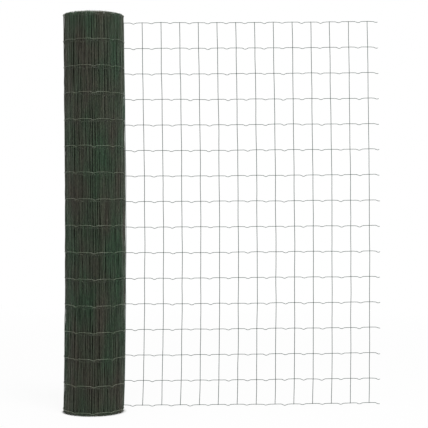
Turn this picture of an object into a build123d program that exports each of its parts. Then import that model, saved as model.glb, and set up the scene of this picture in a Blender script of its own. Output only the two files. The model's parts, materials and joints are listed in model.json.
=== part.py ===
from build123d import *

import math
import os

# Roll of welded wire fencing, standing on one end with its free end pulled out flat.
#
# Line wires run the length of the fence, each with a small crimp half way between two
# stays, and straight stays are welded across them. Wound up, the mesh makes a thick
# round roll with an open bore. The turns have slipped along one another, so each one
# shows on the roll's two ends. The last metre or so leaves the back of the roll along
# a tangent and stands flat.
#
# Millimetres, +Z up. The origin is on the roll's axis, where the roll meets the floor.
# The free end runs towards +X, behind the roll.

# Wires, plastic coat included, and how far a stay is pressed into a line wire at a weld
line_wire = 2.2
stay_wire = 2.5
weld_sink = 0.3

# Mesh: line wires one above another, stays side by side
line_count = 16
line_pitch = 101.6
stay_pitch = 75.0
crimp_depth = 4.5
crimp_half_length = 15.0

# Wound roll
outer_radius = 117.5
turns = 18
slip = 8.0
slip_half_waves = 13

# Free end, measured along X from the roll's axis
first_stay = 33.0
free_stays = 15
tail = 42.0
free_end_drop = 5.0

# A turn is a stay with a line wire outside it, and the next turn lies on the line wire
turn_pitch = line_wire + stay_wire - weld_sink
bore_radius = outer_radius - turns * turn_pitch

# Width of the mesh from edge wire to edge wire, then with the crimps that dip below it
mesh_width = (line_count - 1) * line_pitch + line_wire
turn_width = mesh_width + crimp_depth
stay_places = [first_stay + stay * stay_pitch for stay in range(free_stays)]
free_length = stay_places[-1] + tail


def turn_drop(turn):
    """How far a turn has slipped down from the outermost one, which is turn 0."""
    wave = math.cos(math.pi * slip_half_waves * turn / (turns - 1))
    return slip * (1 - wave) / 2


def crimp_dip(x):
    """How far a line wire dips at x, where each crimp is a V centred between two stays."""
    past_stay = (x - first_stay) % stay_pitch
    from_crimp = abs(past_stay - stay_pitch / 2)
    return crimp_depth * max(0.0, 1 - from_crimp / crimp_half_length)


# Wound roll: one turned solid, each turn as wide as the mesh and slipped by its own amount
turn_corners = [
    (outer_radius - turn * turn_pitch, slip - turn_drop(turn)) for turn in range(turns)
]
with BuildPart() as wound_roll:
    with BuildSketch(Plane.XZ):
        with Locations(*turn_corners):
            Rectangle(turn_pitch, turn_width, align=(Align.MAX, Align.MIN))
    revolve(axis=Axis.Z)

# Free end: its line wires lie in the roll's outermost turn, its stays on their near side.
# A stay keeps its full depth, and the line wire behind it gives way by the weld's sink.
line_depth = line_wire - weld_sink
line_y = outer_radius - line_depth / 2
stay_y = outer_radius - line_depth - stay_wire / 2
lowest_edge = slip - free_end_drop + crimp_depth
line_heights = [lowest_edge + line_wire / 2 + line * line_pitch for line in range(line_count)]

# It parts from the roll where the round surface has fallen away by half a line wire
parting = math.sqrt(outer_radius**2 - line_y**2)
bends = [parting]
for stay_x in [first_stay - stay_pitch, *stay_places]:
    crimp_x = stay_x + stay_pitch / 2
    for corner_x in (crimp_x - crimp_half_length, crimp_x, crimp_x + crimp_half_length):
        if parting < corner_x < free_length:
            bends.append(corner_x)
bends.append(free_length)
upper_edge = [(x, line_wire / 2 - crimp_dip(x)) for x in bends]
lower_edge = [(x, -line_wire / 2 - crimp_dip(x)) for x in reversed(bends)]

with BuildPart() as free_end:
    with BuildSketch(Plane.XZ.offset(-line_y)):
        with Locations(*[(0, height) for height in line_heights]):
            Polygon(*upper_edge, *lower_edge, align=None)
    extrude(amount=line_depth / 2, both=True)
    with Locations(*[(x, stay_y, lowest_edge) for x in stay_places]):
        Box(stay_wire, stay_wire, mesh_width, align=(Align.CENTER, Align.CENTER, Align.MIN))
    Cylinder(
        outer_radius,
        slip + turn_width,
        align=(Align.CENTER, Align.CENTER, Align.MIN),
        mode=Mode.SUBTRACT,
    )

wound_roll.part.label = "wound_roll"
free_end.part.label = "free_end"

os.makedirs("parts", exist_ok=True)
export_step(wound_roll.part, "parts/wound_roll.step")
export_step(free_end.part, "parts/free_end.step")

wound_length = sum(
    2 * math.pi * (outer_radius - (turn + 0.5) * turn_pitch) for turn in range(turns)
)
print("bore radius", round(bore_radius, 2), "turn width", round(turn_width, 2))
print("mesh length in metres", round((wound_length + free_length) / 1000, 2))
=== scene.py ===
import json
import math

import bpy
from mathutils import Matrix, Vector


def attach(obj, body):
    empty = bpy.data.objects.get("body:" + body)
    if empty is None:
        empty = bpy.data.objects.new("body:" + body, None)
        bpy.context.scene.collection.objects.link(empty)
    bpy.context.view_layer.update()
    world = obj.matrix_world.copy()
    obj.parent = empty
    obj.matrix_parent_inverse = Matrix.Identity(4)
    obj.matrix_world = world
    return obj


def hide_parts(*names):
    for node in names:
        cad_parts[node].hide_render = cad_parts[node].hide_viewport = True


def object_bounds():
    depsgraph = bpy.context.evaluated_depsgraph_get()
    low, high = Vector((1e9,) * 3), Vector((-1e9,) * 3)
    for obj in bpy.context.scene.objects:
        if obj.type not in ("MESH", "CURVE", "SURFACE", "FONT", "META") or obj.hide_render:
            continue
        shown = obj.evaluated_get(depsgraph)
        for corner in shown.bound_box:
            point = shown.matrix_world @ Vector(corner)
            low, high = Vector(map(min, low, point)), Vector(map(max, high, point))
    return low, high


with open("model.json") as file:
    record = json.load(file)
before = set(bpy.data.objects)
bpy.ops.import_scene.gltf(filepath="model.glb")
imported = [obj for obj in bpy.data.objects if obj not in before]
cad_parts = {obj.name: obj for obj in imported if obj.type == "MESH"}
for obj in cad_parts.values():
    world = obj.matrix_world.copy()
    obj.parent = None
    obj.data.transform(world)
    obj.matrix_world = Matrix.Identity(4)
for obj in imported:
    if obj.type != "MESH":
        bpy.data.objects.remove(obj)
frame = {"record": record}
cad_low, cad_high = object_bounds()
scene = bpy.context.scene
scene.view_settings.view_transform = "Standard"

# Free end: the last metre or so of the fence, pulled out flat from the back of the roll.
# Crimped line wires run along it and straight stays cross them on the near side, round
# steel wire welded at each crossing and then coated all over in dark green plastic.
line_wire = 0.0022
stay_wire = 0.0025
weld_sink = 0.0003
line_count = 16
line_pitch = 0.1016
stay_pitch = 0.075
crimp_depth = 0.0045
crimp_half_length = 0.015
mesh_height = (line_count - 1) * line_pitch
stay_inset = (line_wire + stay_wire) / 2 - weld_sink


def node(tree, kind, label="", **settings):
    """Adds a node to a tree, with its label and settings."""
    made = tree.nodes.new(kind)
    made.label = label
    for key, value in settings.items():
        setattr(made, key, value)
    return made


def feed(target, socket, value):
    """Puts a value, or what another node puts out, on one socket of a node."""
    if isinstance(value, bpy.types.NodeSocket):
        target.id_data.links.new(value, target.inputs[socket])
    else:
        target.inputs[socket].default_value = value


def sockets(tree, way, rows):
    """Gives a tree its named inputs or outputs."""
    for name, kind, *default in rows:
        socket = tree.interface.new_socket(name, in_out=way, socket_type="NodeSocket" + kind)
        if default:
            socket.default_value = default[0]


# The coat's looks: each stay has its own tone, and the line wires' tone is a painted lightness, as
# painted light on level wires lit from above. The green drifts to a dull brown in tall patches, the
# colour streaks along the stays, and what faces upwards is paler, partly dust and partly painted top
# light.
coat_looks = bpy.data.node_groups.new("Coat looks", "ShaderNodeTree")
sockets(
    coat_looks,
    "INPUT",
    (
        ("Coat", "Color", (0.03, 0.05, 0.035, 1)),
        ("Drift", "Color", (0.05, 0.05, 0.03, 1)),
        ("Dust", "Color", (0.1, 0.1, 0.09, 1)),
        ("Dust Amount", "Float", 0.3),
        ("Tone Range", "Float", 0.5),
    ),
)
sockets(coat_looks, "OUTPUT", (("Color", "Color"), ("Roughness", "Float"), ("Height", "Float")))
given = node(coat_looks, "NodeGroupInput").outputs
result = node(coat_looks, "NodeGroupOutput")
place = node(coat_looks, "ShaderNodeTexCoord")
patch_place = node(coat_looks, "ShaderNodeMapping", "tall patches")
feed(patch_place, "Vector", place.outputs["Object"])
feed(patch_place, "Location", (0.1, 0, 0))
feed(patch_place, "Scale", (1, 1, 0.3))
patches = node(coat_looks, "ShaderNodeTexNoise", "patches where the green drifts")
feed(patches, "Vector", patch_place.outputs[0])
feed(patches, "Scale", 13)
feed(patches, "Detail", 3)
patch_edge = node(coat_looks, "ShaderNodeMapRange", "soft edge of a patch")
feed(patch_edge, "Value", patches.outputs["Fac"])
feed(patch_edge, "From Min", 0.35)
feed(patch_edge, "From Max", 0.65)
drifted = node(coat_looks, "ShaderNodeMix", "green or drifted", data_type="RGBA")
feed(drifted, "Factor", patch_edge.outputs[0])
feed(drifted, 6, given["Coat"])
feed(drifted, 7, given["Drift"])
# A wire's tone: at random for each stay; for the line wires it is a painted lightness, as painted
# light from above
tone = node(coat_looks, "ShaderNodeAttribute", "tone of this wire", attribute_name="tone")
tone_shift = node(coat_looks, "ShaderNodeMath", operation="SUBTRACT")
feed(tone_shift, 0, tone.outputs["Fac"])
feed(tone_shift, 1, 0.5)
drawn_out = node(coat_looks, "ShaderNodeMapping", "drawn out along the stays")
feed(drawn_out, "Vector", place.outputs["Object"])
feed(drawn_out, "Scale", (1, 1, 0.4))
streaks = node(coat_looks, "ShaderNodeTexNoise", "streaks along the stays")
feed(streaks, "Vector", drawn_out.outputs[0])
feed(streaks, "Scale", 260)
feed(streaks, "Detail", 3)
streak_range = node(coat_looks, "ShaderNodeMapRange", "darker or lighter")
feed(streak_range, "Value", streaks.outputs["Fac"])
feed(streak_range, "From Min", 0.3)
feed(streak_range, "From Max", 0.7)
feed(streak_range, "To Min", 0.5)
feed(streak_range, "To Max", 1.5)
tone_scale = node(coat_looks, "ShaderNodeMath", operation="MULTIPLY_ADD")
feed(tone_scale, 0, tone_shift.outputs[0])
feed(tone_scale, 1, given["Tone Range"])
feed(tone_scale, 2, streak_range.outputs[0])
toned = node(coat_looks, "ShaderNodeVectorMath", "toned", operation="SCALE")
feed(toned, 0, drifted.outputs[2])
feed(toned, "Scale", tone_scale.outputs[0])
facing = node(coat_looks, "ShaderNodeNewGeometry")
facing_parts = node(coat_looks, "ShaderNodeSeparateXYZ")
feed(facing_parts, 0, facing.outputs["Normal"])
# Painted top light: what faces upwards is made paler, partly as pale dust and partly as painted light
# from above
upwards = node(coat_looks, "ShaderNodeMapRange", "faces upwards")
feed(upwards, "Value", facing_parts.outputs["Z"])
feed(upwards, "From Min", 0.0)
feed(upwards, "From Max", 0.8)
speckle = node(coat_looks, "ShaderNodeTexNoise", "speckle")
feed(speckle, "Vector", place.outputs["Object"])
feed(speckle, "Scale", 700)
feed(speckle, "Detail", 3)
speckle_edge = node(coat_looks, "ShaderNodeMapRange", "where dust and painted top light hold")
feed(speckle_edge, "Value", speckle.outputs["Fac"])
feed(speckle_edge, "From Min", 0.3)
feed(speckle_edge, "From Max", 0.6)
dust_and_painted_top_light_share = node(coat_looks, "ShaderNodeMath", operation="MULTIPLY")
feed(dust_and_painted_top_light_share, 0, upwards.outputs[0])
feed(dust_and_painted_top_light_share, 1, speckle_edge.outputs[0])
dust_and_painted_top_light_mask = node(coat_looks, "ShaderNodeMath", "dust", operation="MULTIPLY")
feed(dust_and_painted_top_light_mask, 0, dust_and_painted_top_light_share.outputs[0])
feed(dust_and_painted_top_light_mask, 1, given["Dust Amount"])
with_dust_and_painted_top_light = node(coat_looks, "ShaderNodeMix", "with_dust_and_painted_top_light", data_type="RGBA")
feed(with_dust_and_painted_top_light, "Factor", dust_and_painted_top_light_mask.outputs[0])
feed(with_dust_and_painted_top_light, 6, toned.outputs[0])
feed(with_dust_and_painted_top_light, 7, given["Dust"])
satin = node(coat_looks, "ShaderNodeMapRange", "satin to dull")
feed(satin, "Value", patches.outputs["Fac"])
feed(satin, "To Min", 0.34)
feed(satin, "To Max", 0.56)
feed(result, "Color", with_dust_and_painted_top_light.outputs[2])
feed(result, "Roughness", satin.outputs[0])
feed(result, "Height", speckle.outputs["Fac"])


def coat_material(name, coat, drift, dust, dust_amount, tone_range):
    """One of the coat's materials: a satin plastic with the coat's looks."""
    made = bpy.data.materials.new(name)
    made.use_nodes = True
    tree = made.node_tree
    shader = tree.nodes["Principled BSDF"]
    shader.inputs["IOR"].default_value = 1.5
    looks = node(tree, "ShaderNodeGroup", node_tree=coat_looks)
    looks.inputs["Coat"].default_value = (*coat, 1)
    looks.inputs["Drift"].default_value = (*drift, 1)
    looks.inputs["Dust"].default_value = (*dust, 1)
    looks.inputs["Dust Amount"].default_value = dust_amount
    looks.inputs["Tone Range"].default_value = tone_range
    bump = node(tree, "ShaderNodeBump")
    bump.inputs["Strength"].default_value = 0.25
    bump.inputs["Distance"].default_value = 0.0002
    feed(shader, "Base Color", looks.outputs["Color"])
    feed(shader, "Roughness", looks.outputs["Roughness"])
    feed(bump, "Height", looks.outputs["Height"])
    feed(shader, "Normal", bump.outputs["Normal"])
    return made


green_coat = coat_material(
    "green_coat",
    coat=(0.023, 0.059, 0.027),
    drift=(0.048, 0.046, 0.03),
    # pale dust, which is also painted top light on what faces upwards
    dust=(0.27, 0.3, 0.22),
    dust_amount=0.7,
    tone_range=0.15,
)

# The free end's single wires hold hardly any dust and get little painted top light, and their coat
# shows a little bluer
clean_coat = coat_material(
    "clean_coat",
    coat=(0.012, 0.052, 0.037),
    drift=(0.018, 0.044, 0.034),
    dust=(0.2, 0.25, 0.22),
    dust_amount=0.12,
    tone_range=0.15,
)

# Cut ends: where the fence was sheared off its coil, the bare steel core shows on the line
# wires' ends. It is bright in some places and dull in others.
cut_steel = bpy.data.materials.new("cut_steel")
cut_steel.use_nodes = True
steel_tree = cut_steel.node_tree
steel = steel_tree.nodes["Principled BSDF"]
feed(steel, "Metallic", 1.0)
shear_marks = node(steel_tree, "ShaderNodeTexNoise", "shear marks")
feed(shear_marks, "Vector", node(steel_tree, "ShaderNodeTexCoord").outputs["Object"])
feed(shear_marks, "Scale", 2500)
steel_colour = node(steel_tree, "ShaderNodeMix", "bright or dull", data_type="RGBA")
feed(steel_colour, "Factor", shear_marks.outputs["Fac"])
feed(steel_colour, 6, (0.32, 0.31, 0.3, 1))
feed(steel_colour, 7, (0.12, 0.11, 0.1, 1))
feed(steel, "Base Color", steel_colour.outputs[2])
steel_rough = node(steel_tree, "ShaderNodeMapRange", "sheared face")
feed(steel_rough, "Value", shear_marks.outputs["Fac"])
feed(steel_rough, "To Min", 0.35)
feed(steel_rough, "To Max", 0.7)
feed(steel, "Roughness", steel_rough.outputs[0])

# The welding line, as a tree: it lays line wires along a path, crimps them, sets stays
# across them, puts a bead of coat on each weld, and lets the fence stand as it does.
mesh_tree = bpy.data.node_groups.new("Welded mesh", "GeometryNodeTree")
mesh_tree.is_modifier = True
sockets(
    mesh_tree,
    "INPUT",
    (
        ("Path", "Geometry"),
        ("Mesh Height", "Float", mesh_height),
        ("Line Wires", "Int", line_count),
        ("Line Pitch", "Float", line_pitch),
        ("Line Wire", "Float", line_wire),
        # painted lightness of the line wires, as painted light on level wires lit from above
        ("Line Tone", "Float", 0.75),
        ("Stays", "Int", 10),
        ("Stay Pitch", "Float", stay_pitch),
        ("Stay Wire", "Float", stay_wire),
        ("Stay Inset", "Float", stay_inset),
        ("Inset Scatter", "Float", 0.0),
        ("Stay Steps", "Int", 24),
        ("First Stay", "Float", 0.0),
        ("Scatter", "Float", 0.0),
        ("Sides", "Int", 8),
        ("Weld Detail", "Int", 2),
        ("Crimp Depth", "Float", crimp_depth),
        ("Crimp Half Length", "Float", crimp_half_length),
        ("Bow", "Float", 0.0067),
        ("Lean", "Float", 0.0),
        ("Lift", "Float", 0.0),
        ("Sag", "Float", 0.0),
        ("Flat From", "Float", cad_high.y),
        ("Flat Length", "Float", 1.0),
        ("Roll Edge", "Float", cad_high.y),
        ("Waver", "Float", 0.003),
        ("Waver Scale", "Float", 7.0),
        ("Waver Up", "Float", 1.0),
        ("Waver Apart", "Float", 0.0),
        ("Seed", "Int", 5),
        ("Coat", "Material", green_coat),
        ("Cut Ends", "Material", cut_steel),
    ),
)
sockets(mesh_tree, "OUTPUT", (("Mesh", "Geometry"),))
given = node(mesh_tree, "NodeGroupInput").outputs


def step(kind, label="", **fed):
    """One step of the welding line, with what it is fed."""
    made = node(mesh_tree, kind, label)
    for socket, value in fed.items():
        feed(made, socket.replace("_", " "), value)
    return made.outputs[0]


def maths(operation, *values):
    """One sum in the tree."""
    made = node(mesh_tree, "ShaderNodeMath", operation=operation)
    for socket, value in enumerate(values):
        feed(made, socket, value)
    return made.outputs[0]


def vector_maths(operation, *values):
    """One sum of vectors in the tree."""
    made = node(mesh_tree, "ShaderNodeVectorMath", operation=operation)
    for socket, value in enumerate(values):
        feed(made, socket, value)
    return made.outputs[0]


def scaled(vector, scale):
    """A vector made longer or shorter."""
    made = node(mesh_tree, "ShaderNodeVectorMath", operation="SCALE")
    feed(made, 0, vector)
    feed(made, "Scale", scale)
    return made.outputs[0]


def ramp(value, start, end, kind="SMOOTHSTEP"):
    """0 up to start, 1 from end on, and a ramp between them."""
    made = node(mesh_tree, "ShaderNodeMapRange", interpolation_type=kind)
    feed(made, "Value", value)
    feed(made, "From Min", start)
    feed(made, "From Max", end)
    return made.outputs[0]


def luck(lowest, highest, seed_step, number):
    """A random value of its own for each number."""
    made = node(mesh_tree, "FunctionNodeRandomValue")
    feed(made, 2, lowest)
    feed(made, 3, highest)
    feed(made, "ID", number)
    feed(made, "Seed", maths("ADD", given["Seed"], seed_step))
    return made.outputs[1]


# Line wires: the path, once at each height
heights = step(
    "GeometryNodeMeshLine",
    "heights of the line wires",
    Count=given["Line Wires"],
    Offset=step("ShaderNodeCombineXYZ", Z=given["Line Pitch"]),
)
lines = step("GeometryNodeInstanceOnPoints", "line wires", Points=heights, Instance=given["Path"])
lines = step("GeometryNodeRealizeInstances", Geometry=lines)
line_number = node(mesh_tree, "GeometryNodeCurveOfPoint").outputs["Curve Index"]

# Crimps: a rounded dip half way between two stays, each a little different
along = node(mesh_tree, "GeometryNodeSplineParameter").outputs["Length"]
cell = maths("DIVIDE", maths("SUBTRACT", along, given["First Stay"]), given["Stay Pitch"])
most_cells = 1000
crimp_number = maths("MULTIPLY_ADD", line_number, most_cells, maths("FLOOR", cell))
crimp_slack = (-0.0025, 0.003)
crimp_depths = (0.75, 1.25)
off_centre = luck(*crimp_slack, 1, crimp_number)
past_middle = maths("MULTIPLY", maths("SUBTRACT", maths("FRACT", cell), 0.5), given["Stay Pitch"])
from_crimp = maths("ABSOLUTE", maths("SUBTRACT", past_middle, off_centre))
dip = maths(
    "MULTIPLY",
    ramp(from_crimp, given["Crimp Half Length"], 0.0),
    maths("MULTIPLY", given["Crimp Depth"], luck(*crimp_depths, 2, crimp_number)),
)
lines = step(
    "GeometryNodeSetPosition",
    "crimped",
    Geometry=lines,
    Offset=step("ShaderNodeCombineXYZ", Z=maths("MULTIPLY", dip, -1)),
)
# The line wires' tone is a painted lightness: it makes them paler than the stays, as painted light
# from above
lines = step(
    "GeometryNodeStoreNamedAttribute",
    "tone",
    Geometry=lines,
    Name="tone",
    Value=given["Line Tone"],
)

# Stays: one upright at each stay's place on the path, on the inner side of the line wires
feet = step("GeometryNodeMeshLine", "feet of the stays", Count=given["Stays"])
number = node(mesh_tree, "GeometryNodeInputIndex").outputs[0]
scattered = maths("MULTIPLY_ADD", luck(-0.5, 0.5, 3, number), given["Scatter"], number)
stay_place = node(mesh_tree, "GeometryNodeSampleCurve", "place on the path", mode="LENGTH")
stay_place.use_all_curves = True
feed(stay_place, "Curves", given["Path"])
feed(stay_place, "Length", maths("MULTIPLY_ADD", scattered, given["Stay Pitch"], given["First Stay"]))
inwards = vector_maths("CROSS_PRODUCT", (0, 0, 1), stay_place.outputs["Tangent"])
on_path = stay_place.outputs["Position"]
deeper = maths("MULTIPLY_ADD", luck(0.0, 1.0, 5, number), given["Inset Scatter"], given["Stay Inset"])
foot = vector_maths("ADD", on_path, scaled(inwards, deeper))
feet_set = step("GeometryNodeSetPosition", Geometry=feet, Position=foot)
half_line = maths("MULTIPLY", given["Line Wire"], 0.5)
upright = step(
    "GeometryNodeCurvePrimitiveLine",
    "a stay",
    Start=step("ShaderNodeCombineXYZ", Z=maths("MULTIPLY", half_line, -1)),
    End=step("ShaderNodeCombineXYZ", Z=maths("ADD", given["Mesh Height"], half_line)),
)
upright = step("GeometryNodeResampleCurve", Curve=upright, Count=given["Stay Steps"])
stays = step("GeometryNodeInstanceOnPoints", "stays", Points=feet_set, Instance=upright)
stays = step("GeometryNodeRealizeInstances", Geometry=stays)
stay_number = node(mesh_tree, "GeometryNodeCurveOfPoint").outputs["Curve Index"]
stays = step(
    "GeometryNodeStoreNamedAttribute",
    "tone",
    Geometry=stays,
    Name="tone",
    Value=luck(0.0, 1.0, 4, stay_number),
)

# Welds: a bead of coat where a stay is pressed into a line wire
touching = vector_maths("ADD", on_path, scaled(inwards, half_line))
weld_feet = step("GeometryNodeSetPosition", Geometry=feet, Position=touching)
crossings = step("GeometryNodeInstanceOnPoints", "crossings", Points=weld_feet, Instance=heights)
crossings = step("GeometryNodeRealizeInstances", Geometry=crossings)

# How the fence stands. Its bow is strongest where it has just left the roll and weakest at
# the cut end. It bows most a little below half height, and its top and bottom swing back.
# The lean and the lift grow towards the cut end, and the lift and the sag towards the foot,
# but the foot itself sags less.
bow_more_off_roll = 0.43
bow_less_at_end = 0.68
bow_power = 0.8
bow_swing_back = 0.24
lean_end_angle = 1.7
lift_at_top = 0.5
lift_power = 1.7
sag_at_top = 0.1
no_sag_at = -0.04
full_sag_at = 0.06


def set_as_it_stands(wires):
    """Bows, leans, lifts and sags the fence as it stands, and keeps it above the floor."""
    here = node(mesh_tree, "GeometryNodeInputPosition").outputs[0]
    parts = node(mesh_tree, "ShaderNodeSeparateXYZ")
    feed(parts, 0, here)
    height = maths("DIVIDE", parts.outputs["Z"], given["Mesh Height"])
    below_top = maths("SUBTRACT", 1, height)
    flat_end = maths("ADD", given["Flat From"], given["Flat Length"])
    out = ramp(parts.outputs["X"], given["Flat From"], flat_end, "LINEAR")
    free = ramp(parts.outputs["X"], given["Flat From"], given["Roll Edge"])
    off_roll = maths("MULTIPLY_ADD", free, bow_more_off_roll, 1)
    bow_share = maths("ADD", off_roll, maths("MULTIPLY", out, -bow_less_at_end))
    bow = maths("MULTIPLY", given["Bow"], bow_share)
    bow_angle = maths("MULTIPLY", maths("POWER", height, bow_power), math.pi)
    bend = maths("SUBTRACT", maths("SINE", bow_angle), bow_swing_back)
    lean_share = maths("SINE", maths("MULTIPLY", out, lean_end_angle))
    lean = maths("MULTIPLY", given["Lean"], lean_share)
    leant = maths("MULTIPLY", lean, maths("SUBTRACT", 0.5, height))
    lift_share = maths("MULTIPLY_ADD", below_top, 1 - lift_at_top, lift_at_top)
    lift = maths("MULTIPLY", given["Lift"], lift_share)
    lifted = maths("MULTIPLY", lift, maths("POWER", out, lift_power))
    sag_share = maths("MULTIPLY_ADD", below_top, 1 - sag_at_top, sag_at_top)
    sag = maths("MULTIPLY", given["Sag"], sag_share)
    edge_share = ramp(height, no_sag_at, full_sag_at, "LINEAR")
    sagged = maths("MULTIPLY", sag, maths("MULTIPLY", edge_share, free))
    tone_here = step("GeometryNodeInputNamedAttribute", Name="tone")
    waver = node(mesh_tree, "ShaderNodeTexNoise", "waver", noise_dimensions="4D")
    feed(waver, "Vector", here)
    feed(waver, "W", maths("MULTIPLY", tone_here, given["Waver Apart"]))
    feed(waver, "Scale", given["Waver Scale"])
    waver_way = vector_maths("SUBTRACT", waver.outputs["Color"], (0.5, 0.5, 0.5))
    sideways = maths("MULTIPLY", given["Waver"], 2)
    waver_size = step(
        "ShaderNodeCombineXYZ",
        X=sideways,
        Y=sideways,
        Z=maths("MULTIPLY", sideways, given["Waver Up"]),
    )
    wavered = vector_maths("MULTIPLY", waver_way, waver_size)
    shift = step(
        "ShaderNodeCombineXYZ",
        X=maths("MULTIPLY_ADD", bow, bend, leant),
        Z=maths("SUBTRACT", lifted, sagged),
    )
    moved = vector_maths("ADD", vector_maths("ADD", here, shift), wavered)
    moved_parts = node(mesh_tree, "ShaderNodeSeparateXYZ")
    feed(moved_parts, 0, moved)
    standing = step(
        "ShaderNodeCombineXYZ",
        X=moved_parts.outputs["X"],
        Y=moved_parts.outputs["Y"],
        Z=maths("MAXIMUM", moved_parts.outputs["Z"], half_line),
    )
    return step("GeometryNodeSetPosition", "as it stands", Geometry=wires, Position=standing)


def drawn_wire(wires, diameter):
    """Gives the wires their round section, with flat ends."""
    section = step(
        "GeometryNodeCurvePrimitiveCircle",
        Resolution=given["Sides"],
        Radius=maths("MULTIPLY", diameter, 0.5),
    )
    standing = set_as_it_stands(wires)
    return step("GeometryNodeCurveToMesh", Curve=standing, Profile_Curve=section, Fill_Caps=True)


# The faces along a wire have four corners, and the flat face on its end has more
side_corners = 4
bead_share = 0.62
corners = node(mesh_tree, "GeometryNodeInputMeshFaceNeighbors").outputs["Vertex Count"]
is_end = node(
    mesh_tree, "FunctionNodeCompare", "a wire's end", data_type="INT", operation="GREATER_THAN"
)
feed(is_end, 2, corners)
feed(is_end, 3, side_corners)
is_side = node(mesh_tree, "FunctionNodeBooleanMath", operation="NOT")
feed(is_side, 0, is_end.outputs[0])
marked = node(
    mesh_tree, "GeometryNodeStoreNamedAttribute", "cut off here", data_type="BOOLEAN", domain="FACE"
)
feed(marked, "Geometry", drawn_wire(lines, given["Line Wire"]))
feed(marked, "Name", "cut")
feed(marked, "Value", is_end.outputs[0])
bead = node(mesh_tree, "GeometryNodeMeshIcoSphere", "a weld's bead of coat")
feed(bead, "Radius", maths("MULTIPLY", given["Stay Wire"], bead_share))
feed(bead, "Subdivisions", given["Weld Detail"])
beads = step(
    "GeometryNodeInstanceOnPoints",
    "welds",
    Points=set_as_it_stands(crossings),
    Instance=bead.outputs[0],
)
whole = node(mesh_tree, "GeometryNodeJoinGeometry")
for wires in (marked.outputs[0], drawn_wire(stays, given["Stay Wire"]), beads):
    mesh_tree.links.new(wires, whole.inputs[0])
is_cut = node(mesh_tree, "GeometryNodeInputNamedAttribute", "cut off here", data_type="BOOLEAN")
feed(is_cut, "Name", "cut")
body = step("GeometryNodeRealizeInstances", Geometry=whole.outputs[0])
body = step("GeometryNodeSetShadeSmooth", Geometry=body, Selection=is_side.outputs[0])
body = step("GeometryNodeSetMaterial", Geometry=body, Material=given["Coat"])
body = step(
    "GeometryNodeSetMaterial", Geometry=body, Selection=is_cut.outputs[0], Material=given["Cut Ends"]
)
feed(node(mesh_tree, "NodeGroupOutput"), "Mesh", body)


def weld_mesh(name, path, node_name, **sizes):
    """Makes welded mesh on a path as one plain mesh, which stands for a solid."""
    line = bpy.data.curves.new(name + "_path", "CURVE")
    line.dimensions = "3D"
    spline = line.splines.new("POLY")
    spline.points.add(len(path) - 1)
    for point, corner in zip(spline.points, path):
        point.co = (*corner, 1)
    drawn = bpy.data.objects.new(name + "_path", line)
    scene.collection.objects.link(drawn)
    modifier = drawn.modifiers.new("Welded mesh", "NODES")
    modifier.node_group = mesh_tree
    for item in mesh_tree.interface.items_tree:
        wanted = sizes.get(item.name.lower().replace(" ", "_"))
        if item.in_out == "INPUT" and wanted is not None:
            modifier[item.identifier] = wanted
    evaluated = drawn.evaluated_get(bpy.context.evaluated_depsgraph_get())
    plain = bpy.data.meshes.new_from_object(evaluated)
    bpy.data.objects.remove(drawn)
    piece = bpy.data.objects.new(name, plain)
    scene.collection.objects.link(piece)
    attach(piece, "root")
    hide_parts(node_name)
    return piece


# The path of the fence, measured from its cut end: straight, then wound inwards. The first
# stay is one tail away from the cut end. The roll is wound by hand, so each turn has
# slipped a little up or down along the next one, and its edge waves twice on its way round.
outer_radius = cad_high.y
line_radius = outer_radius - line_wire / 2
bore_radius = frame["record"]["mounts"][0]["dims"]["r_mm"] / 1000
turns = 17.5
turn_pitch = (outer_radius - bore_radius - line_wire - stay_wire + weld_sink) / turns
tail = 0.042
tail_x = cad_high.x
lowest_edge = 0.0026
slip = 0.011
slip_half_waves = 13
free_end_drop = 0.005
edge_wave = 0.0012
wave_middle = 0.3
sprung_out = 0.0022
edge_height = lowest_edge + slip

# In turns, counted inwards from where the flat part ends: how far the edge stays as level
# as the flat part's, where the wave has its full size, and where the slip begins
still_level_to = 0.25
full_wave_from = 0.2
slip_from = 0.5

# The higher this is, the later the sprung turn settles down towards the next one
settling = 6


def radius_at(turn):
    """The roll's radius this many turns in. Its outermost turn has sprung out a little."""
    if turn >= 1:
        return line_radius - turn_pitch * turn
    return line_radius + sprung_out * 4 * turn * (1 - turn) - turn_pitch * turn**settling


def wound_length(turn):
    """The length of fence in this many turns, which is the sum of radius_at along them."""
    longer = settling + 1
    if turn >= 1:
        whole_turn = sprung_out * 2 / 3 - turn_pitch / longer
        return 2 * math.pi * (line_radius * turn - turn_pitch * (turn**2 - 1) / 2 + whole_turn)
    sprung = sprung_out * (2 * turn**2 - 4 * turn**3 / 3)
    return 2 * math.pi * (line_radius * turn + sprung - turn_pitch * turn**longer / longer)


def slipped(turn):
    """How high the lowest line wire is, this many turns in from where the flat part ends."""
    if turn <= 0:
        return edge_height - free_end_drop
    wave = edge_wave * (wave_middle - math.cos(4 * math.pi * turn))
    wave *= min(1, turn / full_wave_from)
    half_waves = slip_half_waves * (turn - slip_from) / (turns - slip_from)
    drop = slip * (1 - math.cos(math.pi * half_waves)) / 2
    if turn < still_level_to:
        still_level = (1 + math.cos(math.pi * turn / still_level_to)) / 2
        drop += (free_end_drop - drop) * still_level
    return edge_height - drop + wave


def place_along(length):
    """Where the lowest line wire is, at a length along the fence from its cut end."""
    wound = length - tail_x
    if wound <= 0:
        return (tail_x - length, line_radius, slipped(0))
    turn = wound / wound_length(1)
    for _ in range(8):
        turn += (wound - wound_length(turn)) / (2 * math.pi * radius_at(turn))
    angle = 2 * math.pi * turn
    return (-radius_at(turn) * math.sin(angle), radius_at(turn) * math.cos(angle), slipped(turn))


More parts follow.
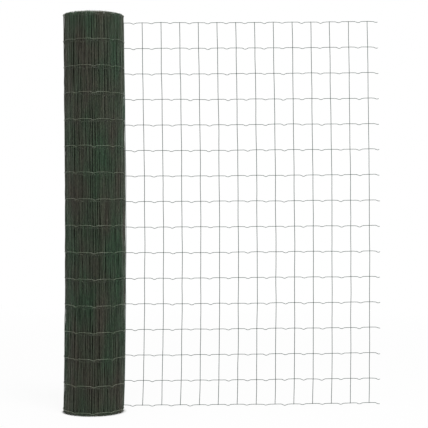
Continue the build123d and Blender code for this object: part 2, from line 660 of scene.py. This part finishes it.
def path_between(start, end, cell_shares):
    """The fence's path from one length to another, with points at these shares of a cell."""
    first_cell = math.floor((start - tail) / stay_pitch)
    last_cell = math.ceil((end - tail) / stay_pitch)
    cells = range(first_cell, last_cell)
    spots = [tail + (cell + share) * stay_pitch for cell in cells for share in cell_shares]
    between = [spot for spot in spots if start < spot < end]
    return [place_along(length) for length in (start, *between, end)]


# The flat part ends a little past the last stay that still stands off the roll
fine_cell = (0, 0.17, 0.33, 0.4, 0.455, 0.5, 0.545, 0.6, 0.67, 0.83)
past_stay = 0.011
free_stays = 15
free_length = tail + (free_stays - 1) * stay_pitch + past_stay
weld_mesh(
    "free_end_mesh",
    path_between(0, free_length, fine_cell),
    "free_end",
    coat=clean_coat,
    stays=free_stays,
    first_stay=tail,
    stay_steps=46,
    lean=0.0075,
    lift=0.0105,
    sag=0.007,
    flat_from=tail_x - free_length,
    flat_length=free_length,
)

# Outer turns of the roll: the same welded mesh, going on round the roll from behind. Their
# line wires are wound tight over the stays of the turns inside them and lie in the light,
# and they are painted paler than the stays, as painted light on level wires lit from above.
outer_stays = 30
outer_length = free_length + outer_stays * stay_pitch
weld_mesh(
    "outer_turns",
    path_between(free_length, outer_length, fine_cell),
    "wound_roll",
    stays=outer_stays,
    first_stay=stay_pitch - past_stay,
    stay_steps=30,
    # painted paler, as painted light on the level wires
    line_tone=1.5,
)

# Inner turns of the roll: the same mesh again, down to the open bore, where the fence ends
# in another cut edge. Only their upper and lower edges show, so their wires are plainer.
coarse_cell = (0, 0.14, 0.28, 0.4, 0.5, 0.6, 0.72, 0.86)
whole_length = tail_x + wound_length(turns)
inner_stays = int((whole_length - outer_length) // stay_pitch)
weld_mesh(
    "inner_turns",
    path_between(outer_length, whole_length, coarse_cell),
    "wound_roll",
    stays=inner_stays,
    first_stay=stay_pitch - past_stay,
    stay_steps=16,
    sides=6,
    weld_detail=1,
)

# Packed stays: the real turns crowd one another so tightly that no light comes through the
# roll. These coated stays fill what the turns above leave open. They are as high as the
# roll, scattered, and each wavers in its own way.
packed_edge = 0.0016
packed_height = 1.5385
for name, first_turn, last_turn, pitch, steps, sides in (
    ("packed_stays_outer", 0, 2, 0.0044, 30, 5),
    ("packed_stays_middle", 2, 7, 0.007, 24, 4),
    ("packed_stays_inner", 7, turns, 0.016, 12, 4),
):
    start = tail_x + wound_length(first_turn)
    end = tail_x + wound_length(last_turn)
    weld_mesh(
        name,
        [(x, y, packed_edge) for x, y, _ in path_between(start, end, coarse_cell)],
        "wound_roll",
        mesh_height=packed_height,
        line_wires=0,
        stays=int((end - start) // pitch),
        stay_pitch=pitch,
        first_stay=pitch / 2,
        scatter=0.8,
        inset_scatter=0.005,
        stay_steps=steps,
        sides=sides,
        waver=0.005,
        waver_scale=11.0,
        waver_up=0.2,
        waver_apart=20.0,
    )

# Floor: plain and pale, out to the horizon. It is white to the camera and to what reflects
# it, and keeps a little of the shadow. Right under the roll it is plain matt, so that the
# roll keeps its whole contact shadow. Far off it is all white, so that no horizon shows.
floor_half = 60.0
shadow_edge = 0.119
shadow_end = 0.13
white_near = 0.92
white_from = 0.5
all_white_at = 5.0
floor_mesh = bpy.data.meshes.new("floor")
floor_corners = [(-1, -1), (1, -1), (1, 1), (-1, 1)]
floor_points = [(x * floor_half, y * floor_half, 0) for x, y in floor_corners]
floor_mesh.from_pydata(floor_points, [], [(0, 1, 2, 3)])
floor = bpy.data.objects.new("floor", floor_mesh)
scene.collection.objects.link(floor)
pale = bpy.data.materials.new("pale_floor")
pale.use_nodes = True
pale_tree = pale.node_tree
matt = pale_tree.nodes["Principled BSDF"]
matt.inputs["Base Color"].default_value = (0.85, 0.85, 0.85, 1)
matt.inputs["Roughness"].default_value = 0.9
glow = node(pale_tree, "ShaderNodeEmission")
rays = node(pale_tree, "ShaderNodeLightPath")
mirrored = node(pale_tree, "ShaderNodeMath", operation="MAXIMUM")
feed(mirrored, 0, rays.outputs["Is Glossy Ray"])
feed(mirrored, 1, rays.outputs["Is Transmission Ray"])
seen = node(pale_tree, "ShaderNodeMath", operation="MAXIMUM")
feed(seen, 0, rays.outputs["Is Camera Ray"])
feed(seen, 1, mirrored.outputs[0])
from_roll = node(pale_tree, "ShaderNodeVectorMath", "distance from the roll", operation="LENGTH")
feed(from_roll, 0, node(pale_tree, "ShaderNodeTexCoord").outputs["Object"])
under_roll = node(pale_tree, "ShaderNodeMapRange", "under the roll", interpolation_type="SMOOTHSTEP")
feed(under_roll, "Value", from_roll.outputs["Value"])
feed(under_roll, "From Min", shadow_edge)
feed(under_roll, "From Max", shadow_end)
feed(under_roll, "To Max", white_near)
far_off = node(pale_tree, "ShaderNodeMapRange", "far from the roll")
feed(far_off, "Value", from_roll.outputs["Value"])
feed(far_off, "From Min", white_from)
feed(far_off, "From Max", all_white_at)
feed(far_off, "To Max", 1 - white_near)
white_share = node(pale_tree, "ShaderNodeMath", operation="ADD")
feed(white_share, 0, under_roll.outputs[0])
feed(white_share, 1, far_off.outputs[0])
amount = node(pale_tree, "ShaderNodeMath", operation="MULTIPLY")
feed(amount, 0, seen.outputs[0])
feed(amount, 1, white_share.outputs[0])
blend = node(pale_tree, "ShaderNodeMixShader")
feed(blend, 0, amount.outputs[0])
feed(blend, 1, matt.outputs[0])
feed(blend, 2, glow.outputs[0])
feed(pale_tree.nodes["Material Output"], "Surface", blend.outputs[0])
floor_mesh.materials.append(pale)

# Light: an even pale room, a strong soft lamp high up in front of the roll, and a weaker
# one in front on the right. The room is white to the camera and to what reflects it.
world = bpy.data.worlds.new("studio")
scene.world = world
world.use_nodes = True
world_tree = world.node_tree
room = world_tree.nodes["Background"]
feed(room, "Color", (1, 1, 1, 1))
feed(room, "Strength", 0.3)
backdrop = node(world_tree, "ShaderNodeBackground")
feed(backdrop, "Color", (1, 1, 1, 1))
rays = node(world_tree, "ShaderNodeLightPath")
mirrored = node(world_tree, "ShaderNodeMath", operation="MAXIMUM")
feed(mirrored, 0, rays.outputs["Is Glossy Ray"])
feed(mirrored, 1, rays.outputs["Is Transmission Ray"])
seen = node(world_tree, "ShaderNodeMath", operation="MAXIMUM")
feed(seen, 0, rays.outputs["Is Camera Ray"])
feed(seen, 1, mirrored.outputs[0])
blend = node(world_tree, "ShaderNodeMixShader")
feed(blend, 0, seen.outputs[0])
feed(blend, 1, room.outputs[0])
feed(blend, 2, backdrop.outputs[0])
feed(world_tree.nodes["World Output"], "Surface", blend.outputs[0])

aim = Vector((0.2, 0, 0.75))
for name, spot, size, power in (
    ("key_lamp", (0.8, -2.6, 8.3), 2.5, 540),
    ("right_lamp", (2.8, -4.4, 3.0), 2.5, 60),
):
    lamp = bpy.data.lights.new(name, "AREA")
    lamp.size = size
    lamp.energy = power
    holder = bpy.data.objects.new(name, lamp)
    scene.collection.objects.link(holder)
    holder.location = spot
    holder.rotation_euler = (aim - Vector(spot)).to_track_quat("-Z", "Y").to_euler()

# Camera: level, at half the fence's height, in front of the free end and square on to it.
# Its lens comes from the photo, whose focal length and side are given in pixels.
photo_side = 428
photo_focal = 1146
camera_spot = (0.4666, -4.46, 0.7685)
camera = bpy.data.cameras.new("camera")
camera.sensor_width = 36
camera.lens = camera.sensor_width * photo_focal / photo_side
camera.clip_end = 200
holder = bpy.data.objects.new("camera", camera)
scene.collection.objects.link(holder)
holder.location = camera_spot
holder.rotation_euler = (math.pi / 2, 0, 0)
scene.camera = holder
